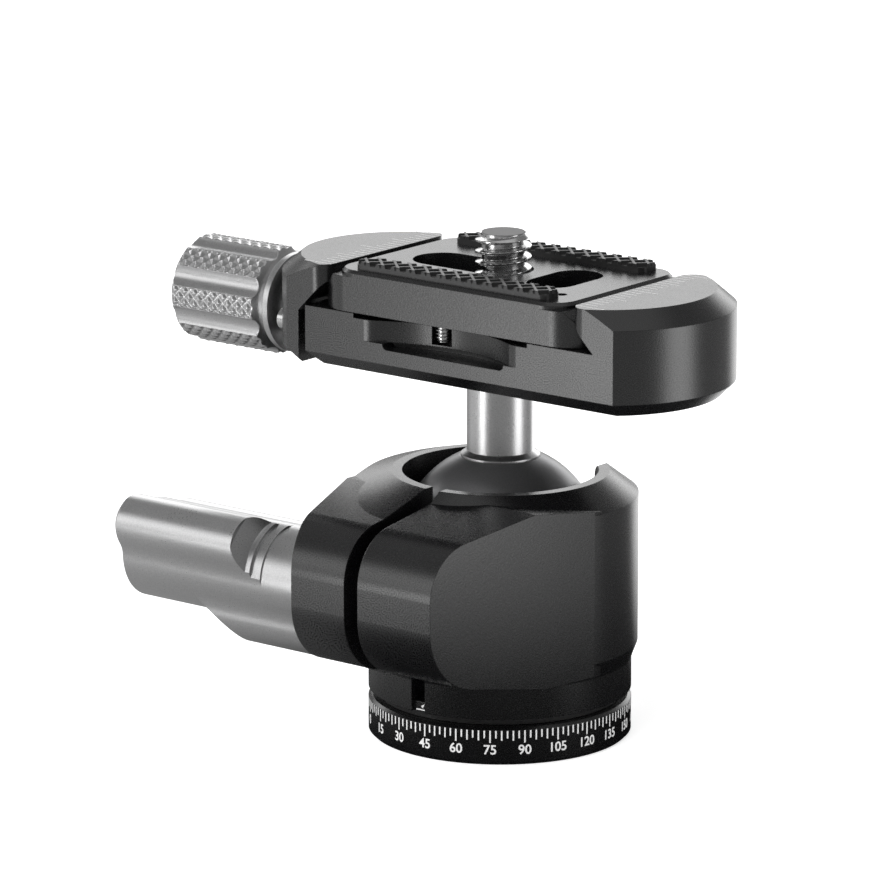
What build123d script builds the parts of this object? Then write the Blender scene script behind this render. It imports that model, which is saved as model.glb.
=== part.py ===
from build123d import *
import math
import os

# A small tripod ball head with a split housing, one lock knob and a dovetail quick-release clamp.
# All lengths are millimetres. +Z is up, the origin is the centre of the base's bottom face.
# The lock knob and the clamp's own knob point to -X, the ear with the slit points to -Y,
# and the drop notch opens to +Y.

# Clearances and overruns
fit_gap = 0.05            # radial or axial running clearance between two pieces
slide_gap = 0.10          # flat clearance of the dovetail and of what slides under it
overrun = 2.0             # how far a cut runs past the face that it opens
turn = 360.0              # degrees in a full turn

# Degree dial and pan spindle
dial_r = 15.0
dial_h = 4.4
dial_edge = 0.35
socket_r = 4.0            # wall of the 3/8 inch - 16 tripod socket, at the thread's minor diameter
socket_depth = 7.6
spigot_r = 5.3
spindle_r = 8.9
spindle_flange_h = 1.5
spindle_crown_h = 0.8
dial_screw_count = 3
dial_screw_r = 1.0
dial_screw_head_r = 1.6
dial_screw_head_h = 1.0
dial_screw_pitch_r = 7.3
dial_screw_reach = 2.2    # thread length inside the spindle
dial_screw_hex_r = 0.75
dial_screw_hex_depth = 0.6

# Pan joint
pan_gap = 0.9             # the black groove between dial and collar
pan_washer_r = 13.9
ring_h = 0.7              # internal retaining ring that holds the spindle in the housing
ring_inner_r = 9.3
ring_groove_depth = 0.8
ring_opening_w = 6.5
collar_lip_h = 0.6        # collar below the ring's groove

# Housing
collar_step = 0.7         # how far the collar stands back from the round body
collar_h = 3.6
flare_h = 1.9
body_wall = 4.2           # around the bore in which the ball's seat slides
rim_z = 30.5
rim_hold = 0.25           # how much smaller the rim's bore is than the ball, in radius
rim_land_w = 1.25
cone_drop = 2.5
skirt_r = 19.9            # shallow turned cone round the rim, on the knob's side
skirt_z = 28.5
ear_front_y = -26.9
ear_left_x = -8.5
ear_right_x = 11.2
ear_top_front_z = 27.5
ear_top_crest_y = -11.5
ear_top_crest_z = 29.7
ear_top_root_z = 28.3
ear_root_y = -1.5
ear_bottom_front_z = 12.6
ear_bottom_mid_y = -10.0
ear_bottom_mid_z = 9.3
ear_top_round = 6.0
ear_bottom_round = 7.5
slit_w = 1.9
slit_web_h = 1.1          # collar left under the slit, which carries the index mark
slit_web_recess = 0.5
notch_half_w = 6.6
notch_round = 1.5

# Ball, liner and its spring
ball_r = 11.4
ball_z = 21.8
ball_flat_h = 10.4        # flat on top of the ball, above its centre
liner_t = 1.0
liner_inner_deg = 22.0
liner_outer_deg = 40.0
carrier_bore_r = 5.5
spring_r = 10.2
spring_w = 2.2
drop_gap = 0.3            # neck above the bottom of the notch when the ball is dropped

# Stem
stem_r = 3.8
stem_foot_r = 4.5
stem_foot_h = 0.7
stem_foot_edge_h = 0.23
stem_spigot_r = 2.5
stem_spigot_h = 7.5
stem_thread_depth = 7.6

# Clamp bar and its jaws
stem_l = 9.8              # from the ball's flat to the bar's bottom
bar_h = 11.7
bar_half_w = 11.2
bar_end_l = 9.4           # from the plate's flange to the tip of the bar's rounded end
bar_bow_share = 0.464     # how far that end stands out past its corners, as a share of bar_half_w
bar_chamfer = 1.5
end_chamfer_h = 1.9
end_chamfer_w = 2.2
seat_h = 6.8
seat_end_l = 1.1          # seat left past the plate's flange, at the movable jaw
relief_r = 16.6
relief_depth = 0.5
lip_round = 1.8           # at both ends of each jaw's lip
pocket_r = 19.6           # disc-cutter pocket that opens through the front
pocket_out = 16.8         # the cutter's centre stands this far out of the bar's front
pocket_floor_h = 3.85
pocket_edge_round = 2.5
pocket_slot_x = 0.45      # deeper slot in the pocket's floor, which runs in under its wall
pocket_slot_half_l = 8.55
pocket_slot_depth = 0.65
pocket_slot_corner = 0.6
pocket_undercut = 0.8
jaw_end_l = 9.7           # from the plate's flange to the tip of the movable jaw
jaw_bow_share = 0.527
jaw_gap = 1.0             # between the bar's end and the movable jaw when it is closed
jaw_travel = 2.8          # four turns of the clamp knob; the plate then lifts out

# Dovetail plate
plate_x = 0.85            # middle of the dovetail
plate_overhang = 0.1      # the plate stands out past the bar at the front and the back
dovetail_half = 19.05     # half of the 38.1 mm flange
neck_inset = 2.85         # the plate's upper part stands back from its flange
flange_side_h = 1.2
plate_corner = 4.5
neck_corner = 3.0
plate_edge = 0.35
slot_half_w = 3.45
slot_x = 0.35             # where the camera screw stands
slot_travel = 8.6
slot_shelf_half_w = 5.05
slot_shelf_h = 2.7
side_slot_x = 9.0
side_slot_half_w = 2.9
side_slot_half_l = 5.2
peg_hole_x = 13.6
peg_hole_inset = 4.6
peg_hole_r = 0.6
peg_hole_depth = 1.5

# Rubber strips
strip_end_gap = 5.6       # from the flange's end to the strip's
strip_w = 3.0
strip_h = 1.0
strip_sink = 0.6
strip_inset = 2.15        # from the bar's side to the strip's middle
strip_corner = 0.9

# Camera screw and its ring
camera_screw_r = 3.175    # 1/4 inch - 20
camera_screw_stand = 4.3  # above the plate
camera_neck_r = 3.0       # plain neck inside the plate
camera_screw_tip = 0.7
camera_head_r = 4.75
camera_head_h = 1.6
camera_slot_w = 1.2
camera_slot_depth = 0.8
screw_ring_h = 0.5

# Stop screw under the plate
stop_screw_r = 1.0
stop_screw_x = -1.75
stop_screw_inset = 3.2    # from the bar's front
stop_screw_hang = 2.4
stop_screw_hold = 1.9
stop_notch_gap = 0.4

# Clamp bolt, pins, traction screw
clamp_bolt_r = 2.5
clamp_bolt_head_r = 4.2
clamp_bolt_head_h = 2.4
clamp_bolt_floor = 3.0
clamp_bolt_hex_r = 2.0
clamp_bolt_hex_depth = 1.4
clamp_bolt_reach = 6.5
pin_r = 1.25
pin_inset = 3.6           # from the bar's side to the pin's axis
pin_in_bar = 7.5
pin_hold = 2.4            # pin left in the movable jaw when it is open
traction_h = 3.8          # above the bar's bottom
traction_r = 2.0
traction_hold = 8.7       # thread left in the bar when the jaw is open
knob_washer_r = 4.0
knob_washer_h = 0.5
jaw_spot_depth = 0.7

# Clamp knob
clamp_knob_r = 6.3
clamp_knob_out = 16.0     # from the jaw's tip to the knob's end
clamp_knob_grip_l = 12.3
clamp_knob_edge = 0.6
clamp_knob_bevel = 1.0
clamp_knob_groove_r = 4.9
clamp_knob_ring_r = 5.8
clamp_knob_ring_l = 1.5
clamp_knob_ring_edge = 0.38
clamp_knob_neck_r = 3.3
flute_count = 8
flute_r = 1.7
flute_depth = 0.62

# Lock knob, stud and washer
lock_y = -18.5
lock_z = 19.5
lock_end_x = -36.2
lobe_tip_r = 8.4
core_share = 0.68         # of the lobes' tip radius
lobe_round_share = 0.39
lobe_blend_share = 0.42
lobe_deg = 135.5          # the lobe that faces the camera, counted from +Y towards +Z
lobe_count = 3
scoop_start_x = -18.6
scoop_end_x = -15.2
scoop_step = 0.45         # shoulder under the lobe's edge
scoop_rise = 0.15
scoop_ledge_share = 0.4   # of the scoop's length, at each end of its cone
wing_tip_x = -19.7        # where the lower lobe reaches its full height
wing_start_x = -25.6
lock_edge = 0.5
lock_neck_l = 0.9
lock_neck_step = 0.5      # from the core's radius down to the neck's
spot_gap = 0.4
stud_r = 3.0
stud_in_knob = 9.0
stud_in_ear = 8.0
lock_washer_r = 4.8
lock_washer_h = 0.7


# Derived places
collar_z = dial_h + pan_gap
flare_z = collar_z + collar_h
body_z = flare_z + flare_h
cone_z = rim_z - cone_drop
cavity_r = ball_r + fit_gap
seat_bore_r = cavity_r + fit_gap
body_r = seat_bore_r + body_wall
collar_r = body_r - collar_step
rim_bore_r = ball_r - rim_hold
rim_land_r = rim_bore_r + rim_land_w
carrier_edge_r = seat_bore_r - slide_gap
spindle_flange_r = carrier_edge_r - slide_gap
ring_z = collar_z + collar_lip_h
spindle_flange_z = ring_z + ring_h + fit_gap
spindle_top_z = spindle_flange_z + spindle_flange_h
liner_in_r = ball_r + fit_gap
liner_out_r = liner_in_r + liner_t
carrier_sphere_r = liner_out_r + fit_gap
carrier_z = spindle_top_z + spindle_crown_h + pan_gap
stem_z = ball_z + ball_flat_h
bar_bottom_z = stem_z + stem_l
stem_top_z = bar_bottom_z - fit_gap
notch_z = ball_z - stem_r - drop_gap + notch_half_w
bar_top_z = bar_bottom_z + bar_h
seat_z = bar_bottom_z + seat_h
pocket_floor_z = bar_bottom_z + pocket_floor_h
traction_z = bar_bottom_z + traction_h
bar_tip_x = plate_x + dovetail_half + bar_end_l
jaw_tip_x = plate_x - dovetail_half - jaw_end_l
seat_left_x = plate_x - dovetail_half - seat_end_l
pocket_y = -(bar_half_w + pocket_out)
pin_y = bar_half_w - pin_inset
stop_screw_y = stop_screw_inset - bar_half_w
peg_hole_y = peg_hole_inset - bar_half_w
plate_half_w = bar_half_w + plate_overhang
neck_half = dovetail_half - neck_inset
strip_half_l = dovetail_half - strip_end_gap
strip_mid_y = bar_half_w - strip_inset
camera_screw_tip_z = bar_top_z + camera_screw_stand
clamp_knob_end_x = jaw_tip_x - clamp_knob_out
plate_z = seat_z + slide_gap
flank_sum = dovetail_half + plate_z + flange_side_h      # |x - plate_x| + z along the plate's flank
jaw_flank_sum = flank_sum + slide_gap
lip_half = neck_half + jaw_gap
lip_z = jaw_flank_sum - lip_half
jaw_in_x = seat_left_x - jaw_gap
pin_in_jaw = pin_hold + jaw_travel
traction_reach = traction_hold + jaw_travel
strip_z = bar_top_z - strip_sink
shelf_z = plate_z + slot_shelf_h
washer_face_x = ear_left_x - fit_gap
lock_inner_x = washer_face_x - lock_washer_h - fit_gap
clamp_knob_inner_x = jaw_tip_x + jaw_spot_depth - knob_washer_h - fit_gap * 2
clamp_knob_grip_x = clamp_knob_end_x + clamp_knob_grip_l
lock_core_r = lobe_tip_r * core_share
lock_neck_r = lock_core_r - lock_neck_step
lobe_round_r = lobe_tip_r * lobe_round_share
lobe_blend_r = lobe_tip_r * lobe_blend_share

os.makedirs("parts", exist_ok=True)


# Pan base
with BuildPart() as base_dial:
    with BuildSketch(Plane.XY) as s:
        Circle(dial_r)
        Circle(spigot_r + fit_gap, mode=Mode.SUBTRACT)
    extrude(amount=dial_h)
    chamfer(base_dial.edges().filter_by(GeomType.CIRCLE).sort_by(SortBy.RADIUS)[-2:], length=dial_edge)
    with Locations(Location((0, 0, 0), (turn / 2, 0, 0))):
        with PolarLocations(dial_screw_pitch_r, dial_screw_count):
            CounterBoreHole(
                radius=dial_screw_r + fit_gap,
                counter_bore_radius=dial_screw_head_r + fit_gap,
                counter_bore_depth=dial_screw_head_h + fit_gap,
            )
base_dial.part.label = "base_dial"
export_step(base_dial.part, "parts/base_dial.step")

# The spindle carries the tripod socket, turns in the housing's foot and is held by the ring.
with BuildPart() as pan_spindle:
    with BuildSketch(Plane.XZ) as s:
        with BuildLine() as outline:
            Polyline(
                (0, 0),
                (spigot_r, 0),
                (spigot_r, dial_h + fit_gap),
                (spindle_r, dial_h + fit_gap),
                (spindle_r, spindle_flange_z),
                (spindle_flange_r, spindle_flange_z),
                (spindle_flange_r, spindle_top_z),
                (spigot_r, spindle_top_z),
                (spigot_r, spindle_top_z + spindle_crown_h),
                (0, spindle_top_z + spindle_crown_h),
                close=True,
            )
        make_face()
    revolve(axis=Axis.Z)
    with BuildSketch(Plane.XY) as s:
        Circle(socket_r)
    extrude(amount=socket_depth, mode=Mode.SUBTRACT)
    with BuildSketch(Plane.XY.offset(dial_h)) as s:
        with PolarLocations(dial_screw_pitch_r, dial_screw_count):
            Circle(dial_screw_r + fit_gap)
    extrude(amount=dial_screw_reach + fit_gap, mode=Mode.SUBTRACT)
pan_spindle.part.label = "pan_spindle"
export_step(pan_spindle.part, "parts/pan_spindle.step")

with BuildPart() as dial_screws:
    with BuildSketch(Plane.XY) as s:
        with PolarLocations(dial_screw_pitch_r, dial_screw_count):
            Circle(dial_screw_head_r)
            RegularPolygon(dial_screw_hex_r, side_count=6, mode=Mode.SUBTRACT)
    extrude(amount=dial_screw_hex_depth)
    with BuildSketch(Plane.XY.offset(dial_screw_hex_depth)) as s:
        with PolarLocations(dial_screw_pitch_r, dial_screw_count):
            Circle(dial_screw_head_r)
    extrude(amount=dial_screw_head_h - dial_screw_hex_depth)
    with BuildSketch(Plane.XY.offset(dial_screw_head_h)) as s:
        with PolarLocations(dial_screw_pitch_r, dial_screw_count):
            Circle(dial_screw_r)
    extrude(amount=dial_h + dial_screw_reach - dial_screw_head_h)
dial_screws.part.label = "dial_screws"
export_step(dial_screws.part, "parts/dial_screws.step")

with BuildPart() as pan_washer:
    with BuildSketch(Plane.XY.offset(dial_h + fit_gap)) as s:
        Circle(pan_washer_r)
        Circle(spindle_r + fit_gap, mode=Mode.SUBTRACT)
    extrude(amount=pan_gap - 2 * fit_gap)
pan_washer.part.label = "pan_washer"
export_step(pan_washer.part, "parts/pan_washer.step")

with BuildPart() as spindle_ring:
    with BuildSketch(Plane.XY.offset(ring_z + fit_gap)) as s:
        Circle(seat_bore_r + ring_groove_depth - fit_gap)
        Circle(ring_inner_r, mode=Mode.SUBTRACT)
        with Locations((0, -seat_bore_r)):
            Rectangle(ring_opening_w, seat_bore_r, mode=Mode.SUBTRACT)
    extrude(amount=ring_h - fit_gap)
spindle_ring.part.label = "spindle_ring"
export_step(spindle_ring.part, "parts/spindle_ring.step")

# The ear: its side view runs along X and is trimmed to the plan, whose walls are tangent to the
# round body and come closer together towards the front.


def wall_touch(corner_x, side):
    """Where the wall from the ear's front corner touches the round body."""
    reach = math.hypot(corner_x, ear_front_y)
    angle = math.atan2(ear_front_y, corner_x) + side * math.acos(body_r / reach)
    return body_r * math.cos(angle), body_r * math.sin(angle)


left_touch = wall_touch(ear_left_x, -1)
right_touch = wall_touch(ear_right_x, 1)
with BuildPart() as ear:
    with BuildSketch(Plane.YZ.offset(-body_r)) as ear_side:
        with BuildLine() as outline:
            Polyline(
                (ear_root_y, ear_bottom_mid_z),
                (ear_bottom_mid_y, ear_bottom_mid_z),
                (ear_front_y, ear_bottom_front_z),
                (ear_front_y, ear_top_front_z),
                (ear_top_crest_y, ear_top_crest_z),
                (ear_root_y, ear_top_root_z),
                close=True,
            )
        make_face()
        fillet(ear_side.vertices().group_by(Axis.X)[0].sort_by(Axis.Y)[0], radius=ear_bottom_round)
        fillet(ear_side.vertices().sort_by(Axis.X)[:3].sort_by(Axis.Y)[-1], radius=ear_top_round)
    extrude(amount=2 * body_r)
    with BuildSketch(Plane.XY.offset(collar_z)) as ear_plan:
        with BuildLine() as outline:
            Polyline(
                (left_touch[0], ear_root_y),
                left_touch,
                (ear_left_x, ear_front_y),
                (ear_right_x, ear_front_y),
                right_touch,
                (right_touch[0], ear_root_y),
                close=True,
            )
        make_face()
    extrude(amount=rim_z - collar_z, mode=Mode.INTERSECT)

# The half with the lock knob keeps more metal round the rim: a shallow turned cone that runs out
# over the ear.
with BuildPart() as rim_skirt:
    with BuildSketch(Plane.XZ) as s:
        with BuildLine() as outline:
            Polyline(
                (0, body_z),
                (skirt_r, body_z),
                (skirt_r, skirt_z),
                (rim_land_r, rim_z),
                (0, rim_z),
                close=True,
            )
        make_face()
    revolve(axis=Axis.Z)
    with BuildSketch(Plane.XY.offset(collar_z)) as s:
        Circle(body_r)
        Polygon((0, 0), left_touch, (ear_left_x, ear_front_y), (0, ear_front_y), align=None)
        with Locations((-body_r, 0)):
            Rectangle(2 * body_r, 2 * -ear_front_y, mode=Mode.INTERSECT)
    extrude(amount=rim_z - collar_z, mode=Mode.INTERSECT)

with BuildPart() as housing:
    # Round body, from the collar's foot to the rim.
    with BuildSketch(Plane.XZ) as s:
        with BuildLine() as outline:
            Polyline(
                (0, collar_z),
                (collar_r, collar_z),
                (collar_r, flare_z),
                (body_r, body_z),
                (body_r, cone_z),
                (rim_land_r, rim_z),
                (0, rim_z),
                close=True,
            )
        make_face()
    revolve(axis=Axis.Z)
    add(ear.part)
    add(rim_skirt.part)
    # Bore with the spherical seat that keeps the ball in, and the retaining ring's groove.
    with BuildSketch(Plane.XZ) as s:
        with BuildLine() as outline:
            Polyline(
                (0, collar_z - overrun),
                (seat_bore_r, collar_z - overrun),
                (seat_bore_r, ring_z),
                (seat_bore_r + ring_groove_depth, ring_z),
                (seat_bore_r + ring_groove_depth, ring_z + ring_h + fit_gap),
                (seat_bore_r, ring_z + ring_h + fit_gap),
                (seat_bore_r, ball_z),
                (rim_bore_r, ball_z),
                (rim_bore_r, rim_z + overrun),
                (0, rim_z + overrun),
                close=True,
            )
        make_face()
    revolve(axis=Axis.Z, mode=Mode.SUBTRACT)
    with Locations((0, 0, ball_z)):
        Sphere(cavity_r, mode=Mode.SUBTRACT)
    # Slit from the bore out through the ear. It stops above a recessed web in the collar.
    with BuildSketch(Plane.XY.offset(collar_z + slit_web_h)) as s:
        with Locations((0, ear_front_y - overrun)):
            Rectangle(slit_w, -ear_front_y, align=(Align.CENTER, Align.MIN))
    extrude(amount=rim_z - collar_z, mode=Mode.SUBTRACT)
    with BuildSketch(Plane.XY.offset(collar_z - overrun)) as s:
        with Locations((0, slit_web_recess - collar_r)):
            Rectangle(slit_w, overrun, align=(Align.CENTER, Align.MAX))
    extrude(amount=slit_web_h + 2 * overrun, mode=Mode.SUBTRACT)
    # Drop notch, open to +Y.
    with BuildSketch(Plane.XZ) as notch:
        with Locations((0, notch_z)):
            Circle(notch_half_w)
            Rectangle(2 * notch_half_w, rim_z, align=(Align.CENTER, Align.MIN))
    extrude(amount=-(body_r + overrun), mode=Mode.SUBTRACT)
    fillet(
        housing.edges()
        .filter_by(GeomType.LINE)
        .filter_by(Plane.XY)
        .group_by(Axis.Z)[-1]
        .sort_by(Axis.Y)[-2:],
        radius=notch_round,
    )
    # Pocket in which the knob's lobes turn beside the round body.
    with BuildSketch(Plane.YZ.offset(ear_left_x)) as s:
        with Locations((lock_y, lock_z)):
            Circle(lobe_tip_r + spot_gap)
    extrude(amount=-body_r, mode=Mode.SUBTRACT)
    # Stud bore: clearance before the slit, thread after it.
    with BuildSketch(Plane.YZ.offset(ear_left_x - overrun)) as s:
        with Locations((lock_y, lock_z)):
            Circle(stud_r + fit_gap)
    extrude(amount=overrun - ear_left_x + slit_w / 2 + stud_in_ear, mode=Mode.SUBTRACT)
housing.part.label = "housing"
export_step(housing.part, "parts/housing.step")

# Ball and what carries it
with BuildPart() as ball_liner:
    with BuildSketch(Plane.XZ) as s:
        with Locations((0, ball_z)):
            Circle(liner_out_r)
            Circle(liner_in_r, mode=Mode.SUBTRACT)
        with BuildLine() as outline:
            far = 2 * liner_out_r
            inner_angle = math.radians(liner_inner_deg)
            outer_angle = math.radians(liner_outer_deg)
            Polyline(
                (0, ball_z),
                (far * math.sin(inner_angle), ball_z - far * math.cos(inner_angle)),
                (far * math.sin(outer_angle), ball_z - far * math.cos(outer_angle)),
                close=True,
            )
        make_face(mode=Mode.INTERSECT)
    revolve(axis=Axis.Z)
ball_liner.part.label = "ball_liner"
export_step(ball_liner.part, "parts/ball_liner.step")

carrier_top_z = ball_z - math.sqrt(carrier_sphere_r**2 - carrier_edge_r**2)
with BuildPart() as seat_carrier:
    with BuildSketch(Plane.XY.offset(carrier_z)) as s:
        Circle(carrier_edge_r)
        Circle(carrier_bore_r, mode=Mode.SUBTRACT)
    extrude(amount=carrier_top_z - carrier_z)
    with Locations((0, 0, ball_z)):
        Sphere(carrier_sphere_r, mode=Mode.SUBTRACT)
seat_carrier.part.label = "seat_carrier"
export_step(seat_carrier.part, "parts/seat_carrier.step")

with BuildPart() as seat_spring:
    with BuildSketch(Plane.XY.offset(spindle_top_z + fit_gap)) as s:
        Circle(spring_r)
        Circle(spring_r - spring_w, mode=Mode.SUBTRACT)
    extrude(amount=carrier_z - spindle_top_z - 2 * fit_gap)
seat_spring.part.label = "seat_spring"
export_step(seat_spring.part, "parts/seat_spring.step")

with BuildPart() as ball:
    with Locations((0, 0, ball_z)):
        Sphere(ball_r)
    with BuildSketch(Plane.XY.offset(stem_z)) as s:
        Circle(ball_r)
    extrude(amount=ball_r, mode=Mode.SUBTRACT)
    with BuildSketch(Plane.XY.offset(stem_z)) as s:
        Circle(stem_spigot_r + fit_gap)
    extrude(amount=-(stem_spigot_h + fit_gap), mode=Mode.SUBTRACT)
ball.part.label = "ball"
export_step(ball.part, "parts/ball.step")

with BuildPart() as stem:
    with BuildSketch(Plane.XZ) as s:
        with BuildLine() as outline:
            Polyline(
                (0, stem_z - stem_spigot_h),
                (stem_spigot_r, stem_z - stem_spigot_h),
                (stem_spigot_r, stem_z),
                (stem_foot_r, stem_z),
                (stem_foot_r, stem_z + stem_foot_edge_h),
                (stem_r, stem_z + stem_foot_h),
                (stem_r, stem_top_z),
                (0, stem_top_z),
                close=True,
            )
        make_face()
    revolve(axis=Axis.Z)
    with BuildSketch(Plane.XY.offset(stem_top_z)) as s:
        Circle(clamp_bolt_r + fit_gap)
    extrude(amount=-stem_thread_depth, mode=Mode.SUBTRACT)
stem.part.label = "stem"
export_step(stem.part, "parts/stem.step")

# Quick-release clamp
with BuildPart() as pocket_slot:
    with BuildSketch(Plane.XY.offset(pocket_floor_z - pocket_slot_depth)) as s:
        with Locations((0, pocket_y)):
            Circle(pocket_r + pocket_undercut)
    extrude(amount=pocket_slot_depth)
    with BuildSketch(Plane.XZ) as s:
        with Locations((pocket_slot_x, pocket_floor_z)):
            RectangleRounded(2 * pocket_slot_half_l, 2 * pocket_slot_depth, pocket_slot_corner)
    extrude(amount=bar_half_w + overrun, mode=Mode.INTERSECT)

with BuildPart() as clamp_bar:
    # Plan: flat sides and a rounded end, then the end's top is turned to a cone.
    with BuildSketch(Plane.XY.offset(bar_bottom_z)) as bar_plan:
        with BuildLine() as outline:
            corner_x = bar_tip_x - bar_bow_share * bar_half_w
            Polyline(
                (corner_x, bar_half_w),
                (seat_left_x, bar_half_w),
                (seat_left_x, -bar_half_w),
                (corner_x, -bar_half_w),
            )
            ThreePointArc((corner_x, -bar_half_w), (bar_tip_x, 0), (corner_x, bar_half_w))
        make_face()
    extrude(amount=bar_top_z - bar_bottom_z)
    chamfer(clamp_bar.edges().group_by(Axis.Z)[0], length=bar_chamfer)
    chamfer(
        clamp_bar.edges().filter_by(GeomType.CIRCLE).group_by(Axis.Z)[-1],
        length=end_chamfer_h,
        length2=end_chamfer_w,
        reference=clamp_bar.faces().filter_by(GeomType.CYLINDER).sort_by(Axis.X)[-1],
    )
    # Seat, and the fixed jaw's overhanging flank.
    with BuildSketch(Plane.XZ.offset(-bar_half_w - overrun)) as s:
        with BuildLine() as outline:
            root_x = plate_x + jaw_flank_sum - seat_z
            Polyline(
                (seat_left_x - overrun, seat_z),
                (root_x, seat_z),
                (plate_x + lip_half, lip_z),
                (plate_x + lip_half, bar_top_z + overrun),
                (seat_left_x - overrun, bar_top_z + overrun),
                close=True,
            )
        make_face()
    extrude(amount=2 * (bar_half_w + overrun), mode=Mode.SUBTRACT)
    # Shallow round relief under the plate, and the pocket that breaks out through the front.
    with BuildSketch(Plane.XY.offset(seat_z)) as s:
        Circle(relief_r)
    extrude(amount=-relief_depth, mode=Mode.SUBTRACT)
    with BuildSketch(Plane.XY.offset(pocket_floor_z)) as pocket_plan:
        with Locations((0, pocket_y)):
            Circle(pocket_r)
        with Locations((0, -bar_half_w)):
            Rectangle(2 * (pocket_r + overrun), pocket_out, align=(Align.CENTER, Align.MAX))
        front_corners = pocket_plan.vertices().filter_by_position(
            Axis.Y, -bar_half_w - fit_gap, -bar_half_w + fit_gap
        )
        fillet(front_corners.sort_by(Axis.X)[1:-1], radius=pocket_edge_round)
    extrude(amount=seat_z - pocket_floor_z, mode=Mode.SUBTRACT)
    add(pocket_slot.part, mode=Mode.SUBTRACT)
    with BuildSketch(Plane.XY.offset(seat_z)) as s:
        with Locations((stop_screw_x, stop_screw_y)):
            Circle(stop_screw_r + stop_notch_gap)
    extrude(amount=slide_gap - stop_screw_hang - stop_notch_gap, mode=Mode.SUBTRACT)
    # The ends of the fixed jaw's lip are rounded.
    with BuildSketch(Plane.XY.offset(seat_z)) as s:
        lip_x = plate_x + lip_half
        round_y = bar_half_w - lip_round
        with Locations((lip_x, -bar_half_w), (lip_x, bar_half_w)):
            Rectangle(2 * lip_round, 2 * lip_round)
        with Locations((lip_x + lip_round, -round_y), (lip_x + lip_round, round_y)):
            Circle(lip_round, mode=Mode.SUBTRACT)
    extrude(amount=bar_top_z + overrun - seat_z, mode=Mode.SUBTRACT)
    # Counterbore for the clamp bolt, bores for the guide pins and the traction screw.
    with BuildSketch(Plane.XY.offset(bar_bottom_z + clamp_bolt_floor)) as s:
        Circle(clamp_bolt_head_r + fit_gap)
    extrude(amount=seat_z - bar_bottom_z, mode=Mode.SUBTRACT)
    with BuildSketch(Plane.XY.offset(bar_bottom_z)) as s:
        Circle(clamp_bolt_r + fit_gap)
    extrude(amount=clamp_bolt_floor, mode=Mode.SUBTRACT)
    with BuildSketch(Plane.YZ.offset(seat_left_x)) as s:
        with Locations((-pin_y, traction_z), (pin_y, traction_z)):
            Circle(pin_r)
    extrude(amount=pin_in_bar, mode=Mode.SUBTRACT)
    with BuildSketch(Plane.YZ.offset(seat_left_x)) as s:
        with Locations((0, traction_z)):
            Circle(traction_r + fit_gap)
    extrude(amount=traction_reach + fit_gap, mode=Mode.SUBTRACT)
clamp_bar.part.label = "clamp_bar"
export_step(clamp_bar.part, "parts/clamp_bar.step")

with BuildPart() as clamp_bolt:
    with BuildSketch(Plane.XY.offset(bar_bottom_z + clamp_bolt_floor)) as s:
        Circle(clamp_bolt_head_r)
    extrude(amount=clamp_bolt_head_h)
    with BuildSketch(Plane.XY.offset(bar_bottom_z + clamp_bolt_floor)) as s:
        Circle(clamp_bolt_r)
    extrude(amount=-(clamp_bolt_floor + clamp_bolt_reach))
    with BuildSketch(Plane.XY.offset(bar_bottom_z + clamp_bolt_floor + clamp_bolt_head_h)) as s:
        RegularPolygon(clamp_bolt_hex_r, side_count=6)
    extrude(amount=-clamp_bolt_hex_depth, mode=Mode.SUBTRACT)
clamp_bolt.part.label = "clamp_bolt"
export_step(clamp_bolt.part, "parts/clamp_bolt.step")

with BuildPart() as jaw_pins:
    with BuildSketch(Plane.YZ.offset(seat_left_x + pin_in_bar)) as s:
        with Locations((-pin_y, traction_z), (pin_y, traction_z)):
            Circle(pin_r)
    extrude(amount=-(pin_in_bar + jaw_gap + pin_in_jaw - fit_gap))
jaw_pins.part.label = "jaw_pins"
export_step(jaw_pins.part, "parts/jaw_pins.step")

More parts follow.
